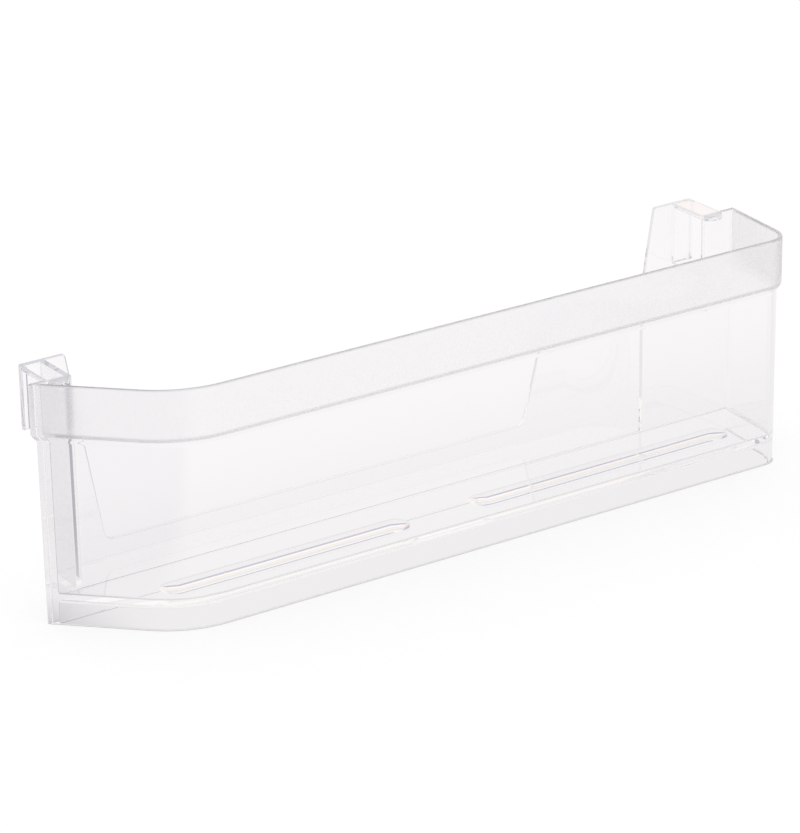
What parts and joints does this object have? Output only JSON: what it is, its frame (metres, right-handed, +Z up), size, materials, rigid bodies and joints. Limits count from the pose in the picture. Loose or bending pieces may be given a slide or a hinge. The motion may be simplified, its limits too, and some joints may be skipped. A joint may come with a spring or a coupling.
{
  "type": "refrigerator door shelf",
  "caption": "Clear moulded refrigerator door shelf: a trough with a frosted rim band, a chamfered front corner, a deeper bay behind and hooked sockets that hang it on the door.",
  "frame": {"origin": "middle of the shelf's box, on the surface that its bottom edge stands on", "axes": "+X along the shelf towards its square end, +Y towards the door, +Z up"},
  "size_m": [0.4434, 0.083, 0.131],
  "materials": {
    "clear_plastic": "clear and glossy, with a frosted band outside the rim"
  },
  "bodies": {
    "root": {"door_shelf": "clear_plastic"}
  },
  "joints": []
}
